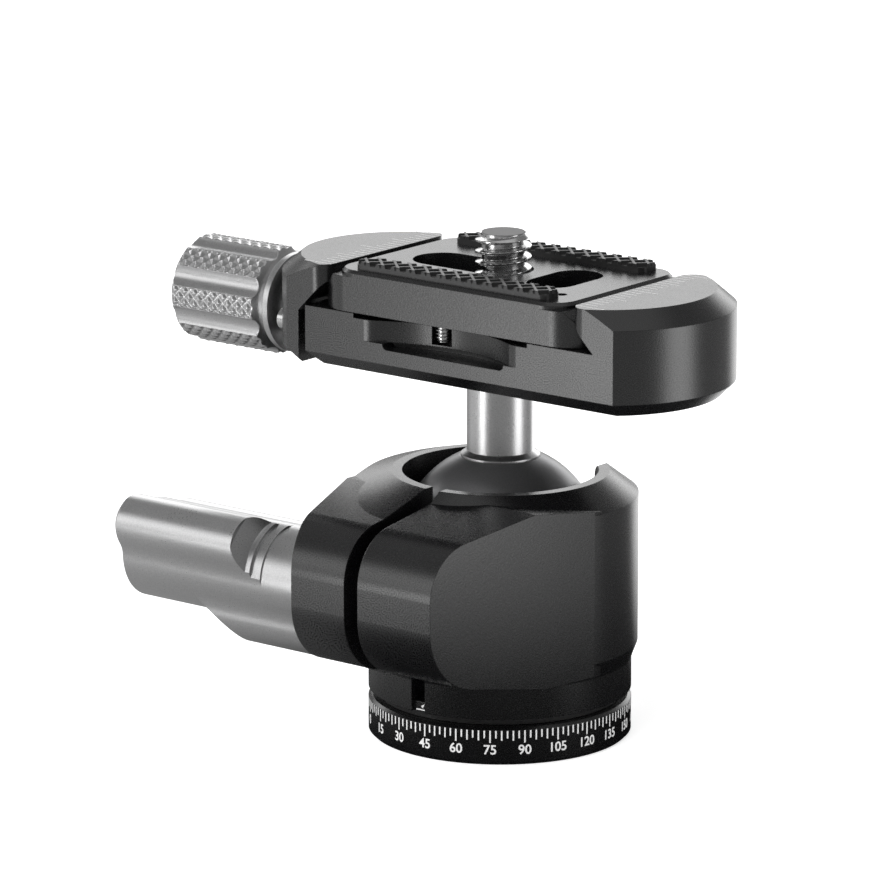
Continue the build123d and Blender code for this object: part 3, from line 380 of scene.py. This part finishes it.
# %% The dial's ticks
dial_low, dial_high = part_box("base_dial")
DIAL_R = (dial_high - dial_low).x / 2
DIAL_EDGE = 0.35 * MM
ZERO_ANGLE = math.radians(-131.4)
TICK_DEG = 2.5
NUMBER_DEG = 15
dial_ticks = grow("dial_ticks", marks, {
    "Count": round(360 / TICK_DEG), "First number": 0,
    "Medium every": 2, "Long every": round(NUMBER_DEG / TICK_DEG),
    "Short": 0.88 * MM, "Medium": 1.15 * MM, "Long": 1.42 * MM,
    "Bend": DIAL_R, "Start angle": ZERO_ANGLE, "Step angle": math.radians(TICK_DEG),
    "Step": 0.0, "Proud": 2 * MARK_PROUD, "Width": 0.17 * MM,
}, tick_row)
dial_ticks.transform(Matrix.Translation((0, 0, dial_high.z - DIAL_EDGE)))
print("ticks on the dial:", len(dial_ticks.polygons) // BOX_FACES)

# %% [markdown]
# ## The numbers
# A number stands under every sixth tick. Each is a text curve that is made a mesh first. Then every
# point of it is wrapped round the dial: its x becomes an angle and its y a height.

# %% Numbers on the dial
NUMBER_H = 1.12 * MM
NUMBER_TOP = 1.62 * MM
DIGIT_SHARE = 0.73
WEIGHT_SHARE = 0.022
CURVE_STEPS = 6


def gather(name, meshes):
    """Joins meshes into one object at the origin."""
    made = bmesh.new()
    for mesh in meshes:
        made.from_mesh(mesh)
    joined = mesh_of(name, made)
    joined.materials.append(meshes[0].materials[0])
    return link_new(name, joined)


def number_mesh(number):
    """A flat number in the XY plane, a little bolder than the font. A digit fills DIGIT_SHARE of it."""
    curve = bpy.data.curves.new("number", "FONT")
    curve.body = str(number)
    curve.size = NUMBER_H / DIGIT_SHARE
    curve.align_x = "CENTER"
    curve.offset = WEIGHT_SHARE * NUMBER_H
    curve.extrude = MARK_PROUD
    curve.resolution_u = CURVE_STEPS
    curve.materials.append(marks.material)
    return evaluated_mesh(link_new("number", curve))


numbers = []
for number in range(0, 360, NUMBER_DEG):
    mesh = number_mesh(number)
    middle_angle = ZERO_ANGLE + math.radians(number)
    for point in mesh.vertices:
        angle = middle_angle + point.co.x / DIAL_R
        radius = DIAL_R + point.co.z
        height = dial_high.z - DIAL_EDGE - NUMBER_TOP - NUMBER_H + point.co.y
        point.co = (radius * math.cos(angle), radius * math.sin(angle), height)
    numbers.append(mesh)
dial_scale = gather("dial_scale", [dial_ticks] + numbers)
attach(dial_scale, "base")
print("numbers on the dial:", len(numbers))

# %% [markdown]
# ## Jaw scales and the index
# Both jaws carry a millimetre scale along their inner edge. The recessed web under the slit has the
# index: a small pointer over a line.

# %% Jaw scales
_, bar_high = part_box("clamp_bar")
_, jaw_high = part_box("movable_jaw")
LIP_INNER = 18.13 * MM
JAW_INSET = 0.08 * MM
TICKS_EACH_WAY = 10


def jaw_scale(name, edge_x, outward, body):
    """Ticks along a jaw's inner edge. `outward` is 1 where they lie towards +X, or else -1."""
    ticks = grow(name + "_ticks", marks, {
        "Count": 2 * TICKS_EACH_WAY + 1, "First number": -TICKS_EACH_WAY,
        "Medium every": 5, "Long every": 10,
        "Short": 2.3 * MM, "Medium": 3.2 * MM, "Long": 3.8 * MM,
        "Bend": 0.0, "Start angle": 0.0, "Step angle": 0.0,
        "Step": 1.0 * MM, "Proud": 2 * MARK_PROUD, "Width": 0.14 * MM,
    }, tick_row)
    # The ticks hang down from their points, so they are tipped until they lie along X.
    lay = Matrix.Rotation(-outward * TURN / 4, 4, "Y")
    ticks.transform(Matrix.Translation((edge_x, 0, bar_high.z)) @ lay)
    scale = gather(name, [ticks])
    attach(scale, body)


jaw_scale("fixed_jaw_scale", LIP_INNER, 1, "clamp")
jaw_scale("movable_jaw_scale", jaw_high.x - JAW_INSET, -1, "jaw")

# %% Index mark
WEB_FACE_Y = -14.5 * MM
WEB_FOOT_Z = 5.3 * MM
LINE_HALF = 0.62 * MM
LINE_FOOT = WEB_FOOT_Z + 0.10 * MM
LINE_TOP = WEB_FOOT_Z + 0.24 * MM
POINTER_TIP = (0.30 * MM, WEB_FOOT_Z + 0.34 * MM)
POINTER_RIGHT = (0.56 * MM, WEB_FOOT_Z + 0.90 * MM)
POINTER_LEFT = (0.04 * MM, WEB_FOOT_Z + 0.60 * MM)


def flat_mark(name, outlines):
    """Outlines of (x, z) points on the web's face, made solid to both sides of it."""
    made = bmesh.new()
    for outline in outlines:
        front = [made.verts.new((x, WEB_FACE_Y - MARK_PROUD, z)) for x, z in outline]
        back = [made.verts.new((x, WEB_FACE_Y + MARK_PROUD, z)) for x, z in outline]
        made.faces.new(front)
        made.faces.new(back[::-1])
        for near in range(len(outline)):
            far = (near + 1) % len(outline)
            made.faces.new((front[near], back[near], back[far], front[far]))
    bmesh.ops.recalc_face_normals(made, faces=made.faces)
    mesh = mesh_of(name, made)
    mesh.materials.append(marks.material)
    return link_new(name, mesh)


index_line = [(-LINE_HALF, LINE_FOOT), (LINE_HALF, LINE_FOOT), (LINE_HALF, LINE_TOP), (-LINE_HALF, LINE_TOP)]
index_pointer = [POINTER_TIP, POINTER_RIGHT, POINTER_LEFT]
index_mark = flat_mark("index_mark", [index_line, index_pointer])
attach(index_mark, "body")

# %% [markdown]
# ## Rubber strips
# The strips carry a raised net of ridges that cross at 45 degrees. One cell is a square with a sunk,
# slightly smaller floor. The cells are laid out in rows, turned by an eighth of a turn, and the
# sheet is trimmed to the strip's outline before its sides are drawn down.

# %% Strips
CELL = 1.53 * MM
RIDGE = 0.30 * MM
RIDGE_SLOPE = 0.10 * MM
RIDGE_H = 0.38 * MM
STRIP_CORNER = 0.9 * MM
CORNER_CUTS = 3
NET_WELD = 0.01 * MM
# Half width and depth of a cell's outline, of its ridge's inner edge, and of its floor.
CELL_RINGS = [
    (CELL / 2, 0.0),
    ((CELL - RIDGE) / 2, 0.0),
    ((CELL - RIDGE) / 2 - RIDGE_SLOPE, -RIDGE_H),
]
EIGHTH_TURN = Matrix.Rotation(TURN / 8, 4, "Z")


def open_edges(made):
    return [edge for edge in made.edges if edge.is_boundary]


def add_cell(made, centre):
    """One cell of the net, turned by an eighth of a turn about the net's middle."""
    rings = []
    for half, depth in CELL_RINGS:
        corners = [(-half, -half), (half, -half), (half, half), (-half, half)]
        rings.append([made.verts.new(EIGHTH_TURN @ (centre + Vector((x, y, depth)))) for x, y in corners])
    for outer, inner in zip(rings, rings[1:]):
        for side in range(4):
            after = (side + 1) % 4
            made.faces.new((outer[side], outer[after], inner[after], inner[side]))
    made.faces.new(rings[-1])


def net_sheet(made, half_size):
    """A sheet of cells that covers a strip of this half size, and a little more."""
    count = math.ceil(half_size.x / CELL) + 2
    for row in range(-count, count):
        for column in range(-count, count):
            centre = Vector(((column + 0.5) * CELL, (row + 0.5) * CELL, 0))
            if abs((EIGHTH_TURN @ centre).y) < half_size.y + CELL:
                add_cell(made, centre)
    bmesh.ops.remove_doubles(made, verts=made.verts, dist=NET_WELD)


def trim(made, point, outward):
    """Cuts a bmesh with a plane and drops what lies outwards of it."""
    geometry = made.verts[:] + made.edges[:] + made.faces[:]
    bmesh.ops.bisect_plane(made, geom=geometry, plane_co=point, plane_no=outward, clear_outer=True)


def trim_to_strip(made, half_size):
    """Trims a sheet to a rectangle, and rounds each corner with a few flat cuts."""
    for side in (-1, 1):
        trim(made, (side * half_size.x, 0, 0), (side, 0, 0))
        trim(made, (0, side * half_size.y, 0), (0, side, 0))
    for east in (-1, 1):
        for north in (-1, 1):
            hub = Vector((east * (half_size.x - STRIP_CORNER), north * (half_size.y - STRIP_CORNER), 0))
            for step in range(1, CORNER_CUTS + 1):
                angle = step * TURN / 4 / (CORNER_CUTS + 1)
                outward = Vector((east * math.cos(angle), north * math.sin(angle), 0))
                trim(made, hub + outward * STRIP_CORNER, outward)


def net_strip(name, node):
    """A strip with its net, in place of the plain CAD strip."""
    low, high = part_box(node)
    middle_point = (low + high) / 2
    half_size = (high - low) / 2
    made = bmesh.new()
    net_sheet(made, half_size)
    trim_to_strip(made, half_size)
    walls = bmesh.ops.extrude_edge_only(made, edges=open_edges(made))
    for item in walls["geom"]:
        if isinstance(item, bmesh.types.BMVert):
            item.co.z = low.z - high.z
    foot_edges = [item for item in walls["geom"] if isinstance(item, bmesh.types.BMEdge) and item.is_boundary]
    bmesh.ops.contextual_create(made, geom=foot_edges)
    bmesh.ops.recalc_face_normals(made, faces=made.faces)
    mesh = mesh_of(name, made)
    mesh.transform(Matrix.Translation((middle_point.x, middle_point.y, high.z)))
    mesh.materials.append(rubber.material)
    strip = link_new(name, mesh)
    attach(strip, "plate")
    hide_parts(node)
    print(name, "faces:", len(mesh.polygons))


net_strip("front_strip_net", "front_strip")
net_strip("rear_strip_net", "rear_strip")

# %% [markdown]
# ## Surfaces wrapped round an axis
# A thread and a knurled grip are both a sheet wrapped round an axis, whose radius follows a rule of
# the turn and of the way along. The tree below wraps a flat grid, and the rule is a function that
# gives the radius. The first and the last column of the grid fall on each other and are merged.

# %% Wrapping a grid
ROUND_STEPS = 96
SEAM_WELD = 0.002 * MM
SHARP_ANGLE = math.radians(32)


def wrapped(name, finish, rows, columns, sizes, rule):
    """A tube along Z. rule(angle, along, size) gives its radius."""
    def build(tree, size):
        sheet = {"Size X": 1.0, "Size Y": 1.0, "Vertices X": columns + 1, "Vertices Y": rows + 1}
        grid = Wire.node(tree, "GeometryNodeMeshGrid", {}, sheet)
        across, up, _ = Wire.node(tree, "GeometryNodeInputPosition", {}, {}).split()
        angle = (across + 0.5) * TURN
        along = (up + 0.5) * size["Length"]
        radius = rule(angle, along, size)
        parts = {0: radius * angle.calc("COSINE"), 1: radius * angle.calc("SINE"), 2: along}
        spot = Wire.node(tree, "ShaderNodeCombineXYZ", {}, parts)
        moved = Wire.node(tree, "GeometryNodeSetPosition", {}, {"Geometry": grid, "Position": spot})
        weld = {"Geometry": moved, "Distance": SEAM_WELD}
        return Wire.node(tree, "GeometryNodeMergeByDistance", {}, weld)
    return grow(name, finish, sizes, build)


def lathe(made, profile):
    """Adds a turned shape to a bmesh. The profile is (radius, height) pairs and may end at radius 0."""
    angles = [TURN * step / ROUND_STEPS for step in range(ROUND_STEPS)]
    rings = []
    for radius, height in profile:
        if radius == 0:
            spots = [(0, 0, height)]
        else:
            spots = [(radius * math.cos(angle), radius * math.sin(angle), height) for angle in angles]
        rings.append([made.verts.new(spot) for spot in spots])
    for lower, upper in zip(rings, rings[1:]):
        for step in range(ROUND_STEPS):
            after = (step + 1) % ROUND_STEPS
            corners = [lower[step % len(lower)], lower[after % len(lower)]]
            corners += [upper[after % len(upper)], upper[step % len(upper)]]
            made.faces.new(list(dict.fromkeys(corners)))


def close_ends(made):
    """Fills the open loops of a wrapped grid with flat faces."""
    bmesh.ops.holes_fill(made, edges=open_edges(made))
    bmesh.ops.recalc_face_normals(made, faces=made.faces)


def finish_piece(made, name, finish, place, body, node):
    """Puts a bmesh in its place, as the piece that replaces a CAD node."""
    mesh = mesh_of(name, made)
    mesh.transform(place)
    mesh.materials.clear()
    mesh.materials.append(finish.material)
    mesh.set_sharp_from_angle(angle=SHARP_ANGLE)
    piece = link_new(name, mesh)
    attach(piece, body)
    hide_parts(node)
    print(name, "triangles:", sum(len(face.vertices) - 2 for face in mesh.polygons))


# %% [markdown]
# ## The knurled clamp knob
# The grip has eight smooth flutes. The lands between them are diamond knurled: two sets of grooves
# cross at 45 degrees and leave small pyramids. The grid's steps are a fourteenth of the knurl's
# pitch both ways, so that every groove runs along its diagonals and stays sharp.

# %% The rule of the knurled grip
LAND_BLEND = 0.06 * MM
KNURL_SHARPNESS = 1.3


def away(count):
    """Distance from the nearest whole number, from 0 on a groove to 1 halfway between two."""
    return 1 - (count.calc("FRACT") * 2 - 1).calc("ABSOLUTE")


def knurled_radius(angle, along, size):
    """The grip's radius: flutes, knurled lands between them, and an edge at both ends."""
    around = ((angle * size["Flutes"] / TURN).calc("FRACT") - 0.5) * TURN / size["Flutes"]
    centre = size["Knob radius"] + size["Flute radius"] - size["Flute depth"]
    sideways = centre * around.calc("SINE")
    inside = (size["Flute radius"] * size["Flute radius"] - sideways * sideways).calc("MAXIMUM", 0.0)
    flute = centre * around.calc("COSINE") - inside.calc("SQRT")
    land = (flute - size["Knob radius"]).smooth(0.0, LAND_BLEND)
    turns = angle * size["Knurls"] / TURN
    crossing = away(turns + along / size["Pitch"]).calc("MINIMUM", away(turns - along / size["Pitch"]))
    groove = 1 - (crossing * KNURL_SHARPNESS).calc("MINIMUM", 1.0)
    grip = flute.calc("MINIMUM", size["Knob radius"]) - land * groove * size["Knurl depth"]
    outer_edge = along + size["Knob radius"] - size["Edge"]
    inner_edge = size["Knob radius"] - (along - size["Grip length"]) * size["Bevel slope"]
    return grip.calc("MINIMUM", outer_edge).calc("MINIMUM", inner_edge)


# %% Clamp knob
knob_low, knob_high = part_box("clamp_knob")
KNOB_R = 6.3 * MM
KNURLS = 27
KNURL_PITCH = TURN * KNOB_R / KNURLS
STEPS_PER_KNURL = 14
GRIP_L = 12.3 * MM
BEVEL_L = 1.0 * MM
GROOVE_R = 4.9 * MM
RING_R = 5.8 * MM
RING_L = 1.5 * MM
RING_BEVEL = 0.38 * MM
NECK_R = 3.3 * MM
SINK = 0.1 * MM

groove_z = GRIP_L + BEVEL_L
ring_end = groove_z + RING_L
neck_end = knob_high.x - knob_low.x
grip_rows = round(groove_z / (KNURL_PITCH / STEPS_PER_KNURL))
grip_mesh = wrapped("knurled_grip", silver, grip_rows, KNURLS * STEPS_PER_KNURL, {
    "Length": groove_z, "Grip length": GRIP_L, "Knob radius": KNOB_R, "Flutes": 8.0,
    "Flute radius": 1.7 * MM, "Flute depth": 0.62 * MM, "Knurls": float(KNURLS), "Pitch": KNURL_PITCH,
    "Knurl depth": 0.24 * MM, "Edge": 0.5 * MM, "Bevel slope": (KNOB_R - GROOVE_R) / BEVEL_L,
}, knurled_radius)
knob_shape = bmesh.new()
knob_shape.from_mesh(grip_mesh)
close_ends(knob_shape)
# The ring and the neck start a little inside the grip.
lathe(knob_shape, [
    (0, groove_z - SINK), (GROOVE_R - SINK / 2, groove_z - SINK), (GROOVE_R, groove_z),
    (RING_R, groove_z + RING_BEVEL), (RING_R, ring_end - RING_BEVEL), (GROOVE_R, ring_end),
    (NECK_R, ring_end), (NECK_R, neck_end), (0, neck_end),
])
# The knob is made along +Z and turned to lie along +X.
Z_TO_X = Matrix(((0, 0, 1, 0), (1, 0, 0, 0), (0, 1, 0, 0), (0, 0, 0, 1)))
knob_place = Matrix.Translation((knob_low.x, 0, (knob_low.z + knob_high.z) / 2)) @ Z_TO_X
finish_piece(knob_shape, "knurled_clamp_knob", silver, knob_place, "jaw_screw", "clamp_knob")

# %% [markdown]
# ## Threads
# The camera screw stands up out of the plate with about three crests in sight, narrow ones over a
# wide round root. The same rule makes the small stop screw under the plate. The camera screw's head
# is kept from the CAD model: its copy is cut off inside the slot and the thread stands on it.

# %% Threads
ROOT_SHARE = 0.42
FLANK_SHARE = 0.44
HEAD_WELD = 0.001 * MM


def thread_radius(angle, along, size):
    """A thread's radius, which shrinks to the tip radius at the free end."""
    phase = ((along / size["Pitch"] - angle / TURN).calc("FRACT") * 2 - 1).calc("ABSOLUTE")
    tooth = phase.smooth(size["Root share"], size["Root share"] + size["Flank share"])
    radius = size["Core"] + (size["Outer"] - size["Core"]) * tooth
    from_tip = size["Length"] - along
    return radius.calc("MINIMUM", size["Tip radius"] + from_tip * size["Tip slope"])


def thread_shape(name, length, row_step, outer, core, pitch, tip_radius, tip_slope):
    """A closed bmesh of a threaded rod that stands on the origin."""
    made = bmesh.new()
    made.from_mesh(wrapped(name, steel, round(length / row_step), ROUND_STEPS, {
        "Length": length, "Outer": outer, "Core": core, "Pitch": pitch, "Root share": ROOT_SHARE,
        "Flank share": FLANK_SHARE, "Tip radius": tip_radius, "Tip slope": tip_slope,
    }, thread_radius))
    close_ends(made)
    return made


def cut_head(node, height):
    """The part of a CAD node's mesh under a height, closed with a flat face."""
    # The copy drops the normals that came with the CAD mesh, because they don't fit once it is cut.
    source = nodes[node].data.copy()
    source.attributes.remove(source.attributes["custom_normal"])
    made = bmesh.new()
    made.from_mesh(source)
    bmesh.ops.remove_doubles(made, verts=made.verts, dist=HEAD_WELD)
    trim(made, (0, 0, height), (0, 0, 1))
    bmesh.ops.holes_fill(made, edges=open_edges(made))
    return mesh_of("screw_head", made)


# %% Camera screw
INCH = 25.4 * MM
THREAD_START = 51.2 * MM
HEAD_OVERLAP = 0.1 * MM
screw_low, screw_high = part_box("camera_screw")
screw_x = (screw_low.x + screw_high.x) / 2
screw_shape = thread_shape(
    "camera_thread", screw_high.z - THREAD_START, row_step=0.05 * MM, outer=INCH / 8, core=2.42 * MM,
    pitch=INCH / 20, tip_radius=2.45 * MM, tip_slope=1.1)
bmesh.ops.translate(screw_shape, verts=screw_shape.verts, vec=(screw_x, 0, THREAD_START))
screw_shape.from_mesh(cut_head("camera_screw", THREAD_START + HEAD_OVERLAP))
in_place = Matrix.Identity(4)
finish_piece(screw_shape, "threaded_camera_screw", steel, in_place, "screw", "camera_screw")

# %% Stop screw
stop_low, stop_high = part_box("stop_screw")
stop_shape = thread_shape(
    "stop_thread", stop_high.z - stop_low.z, row_step=0.03 * MM, outer=1.0 * MM, core=0.76 * MM,
    pitch=0.4 * MM, tip_radius=0.75 * MM, tip_slope=1.0)
stop_middle = (stop_low + stop_high) / 2
# The thread's free end points down, so the mesh is turned over before it is placed.
turned_over = Matrix.Rotation(TURN / 2, 4, "X")
stop_place = Matrix.Translation((stop_middle.x, stop_middle.y, stop_high.z)) @ turned_over
finish_piece(stop_shape, "threaded_stop_screw", steel, stop_place, "plate", "stop_screw")

# %% [markdown]
# ## Studio
# The object stands on a plain pale floor that fills the view. The black parts mirror what stands
# round them, so the light comes from a painted room: broad soft panels with dark gaps between them.
# The floor itself is left out of mirrored light. In its place lies a card that only mirrored light
# meets. It is dark near the object and lighter further out, which keeps the undersides and the foot
# dark and gives the upright faces their slow change from one end to the other.

# %% Floor
FLOOR_HALF = 6.0
FLOOR_CLOUD = 0.5
FLOOR_GLOW = 0.72


def flat_square(name, half, height):
    """A level square, centred over the origin."""
    made = bmesh.new()
    corners = [(-half, -half, height), (half, -half, height), (half, half, height), (-half, half, height)]
    made.faces.new([made.verts.new(corner) for corner in corners])
    return link_new(name, mesh_of(name, made))


floor = flat_square("studio_floor", FLOOR_HALF, 0)
floor_paint = Finish("floor_paint", Roughness=0.85, Specular_IOR_Level=0.2,
                     Emission_Color=grey(1.0), Emission_Strength=FLOOR_GLOW)
floor_paint.feed("Base Color", floor_paint.noise(FLOOR_CLOUD).mix(grey(0.80), grey(0.82)))
floor.data.materials.append(floor_paint.material)
floor.visible_glossy = False

# %% [markdown]
# ## The painted room
# A panel is named by where it stands, as a compass angle and a height angle, its half width and half
# height in degrees, and its strength. A panel's edge fades over some degrees. The card on the floor
# has panels of the same kind. There it is the distance from the object between which the light
# rises, from `dark_at` to `light_at` millimetres.

# %% Room
FADE = 12
HALF_TURN_DEG = 180.0
ROOM_LEVEL = 0.20
Panel = namedtuple("Panel", "name compass rise half_width half_height strength")
PANELS = [
    Panel("front left", -130, 15, 24, 13, 1.05),
    Panel("right", 12, 0, 13, 16, 1.9),
    Panel("back right", 98, 8, 14, 14, 1.8),
    Panel("back left", 127, 21, 20, 15, 1.65),
    Panel("left, high", 178, 22, 14, 9, 2.2),
    Panel("above", 0, 78, 180, 17, 0.30),
]


def within(off, half):
    """1 where `off` is less than `half` degrees, with a soft edge."""
    return 1 - off.smooth(half - FADE / 2, half + FADE / 2)


def panel_light(compass, panel):
    """1 inside the panel's compass range, fading to 0 over its edges."""
    ahead = compass - panel.compass + 3 * HALF_TURN_DEG
    off = (ahead.calc("FLOORED_MODULO", 2 * HALF_TURN_DEG) - HALF_TURN_DEG).calc("ABSOLUTE")
    return within(off, panel.half_width)


world = bpy.data.worlds.new("room")
world.use_nodes = True
air = world.node_tree
background = air.nodes["Background"]
east, north, upward = Wire.node(air, "ShaderNodeTexCoord", {}, {}, "Generated").split()
compass = north.calc("ARCTAN2", east) * math.degrees(1)
height_angle = upward.calc("ARCSINE") * math.degrees(1)
level = ROOM_LEVEL
for panel in PANELS:
    over = (height_angle - panel.rise).calc("ABSOLUTE")
    level = level + panel_light(compass, panel) * within(over, panel.half_height) * panel.strength
air.links.new(level.socket, background.inputs["Strength"])
background.inputs["Color"].default_value = grey(1.0)
bpy.context.scene.world = world
print("panels in the room:", len(PANELS))

# %% [markdown]
# ## The card on the floor
# It lies a hair above the floor and only mirrored light meets it. Its light is one sum of its own
# coordinates: the distance from the object, and the compass angle.

# %% Card
CARD_HALF = 0.45
CARD_H = 0.05 * MM
CardPanel = namedtuple("CardPanel", "name compass half_width dark_at light_at strength")
CARD_PANELS = [
    CardPanel("front left", -115, 9, 80, 180, 3.8),
    CardPanel("right", 12, 13, 38, 182, 2.3),
    CardPanel("back right", 100, 17, 20, 104, 1.5),
    CardPanel("left, near", -150, 36, 10, 45, 0.26),
    CardPanel("all round", 0, 181, 10, 172, 0.34),
]
card = flat_square("mirror_card", CARD_HALF, CARD_H)
card_paint = Finish("card_paint", Roughness=1.0, Specular_IOR_Level=0.0,
                    Base_Color=grey(0.0), Emission_Strength=1.0)
card_east, card_north, _ = card_paint.place.split()
card_compass = card_north.calc("ARCTAN2", card_east) * math.degrees(1)
distance = (card_east * card_east + card_north * card_north).calc("SQRT")
card_level = 0.0
for panel in CARD_PANELS:
    reach = distance.smooth(panel.dark_at * MM, panel.light_at * MM)
    card_level = card_level + panel_light(card_compass, panel) * reach * panel.strength
card_grey = {0: card_level, 1: card_level, 2: card_level}
card_paint.feed("Emission Color", card_paint.node("ShaderNodeCombineColor", {}, card_grey))
card.data.materials.append(card_paint.material)
card.visible_camera = False
card.visible_diffuse = False
card.visible_transmission = False
card.visible_shadow = False
print("card panels:", len(CARD_PANELS))

# %% [markdown]
# ## Light for the marks
# Matt white marks don't mirror the room. One broad sun brings them up, and it is kept out of
# mirrored light, so the black round them stays as it is.

# %% Sun
SUN_DIRECTION = Vector((0.2, 0.75, -0.85))
sun_data = bpy.data.lights.new("soft_sun", "SUN")
sun_data.energy = 2.4
sun_data.angle = math.radians(60)
sun = link_new("soft_sun", sun_data)
sun.rotation_euler = SUN_DIRECTION.to_track_quat("-Z", "Y").to_euler()
sun.visible_glossy = False

# %% [markdown]
# ## Camera
# The photograph was taken from about 38 degrees round to the right of the ear and 14 degrees above
# the floor, from far off, with a long lens. The picture is square, and the camera isn't rolled.

# %% Camera
PHOTO_SIZE = 888
FOCAL_PIXELS = 5880
SENSOR = 36.0
CAMERA_PLACE = (0.3952, -0.5107, 0.1926)
CAMERA_COMPASS = math.radians(38.3)
CAMERA_RISE = math.radians(13.85)
camera_data = bpy.data.cameras.new("photo_camera")
camera_data.sensor_width = SENSOR
camera_data.lens = FOCAL_PIXELS * SENSOR / PHOTO_SIZE
camera_data.clip_start = 0.05
camera_data.clip_end = 50
camera = link_new("photo_camera", camera_data)
along_floor = math.cos(CAMERA_RISE)
look = Vector((
    -math.sin(CAMERA_COMPASS) * along_floor, math.cos(CAMERA_COMPASS) * along_floor, -math.sin(CAMERA_RISE)))
camera.location = CAMERA_PLACE
camera.rotation_euler = look.to_track_quat("-Z", "Y").to_euler()
bpy.context.scene.camera = camera
bpy.context.scene.view_settings.view_transform = "Standard"
print("lens in mm:", round(camera_data.lens, 1))
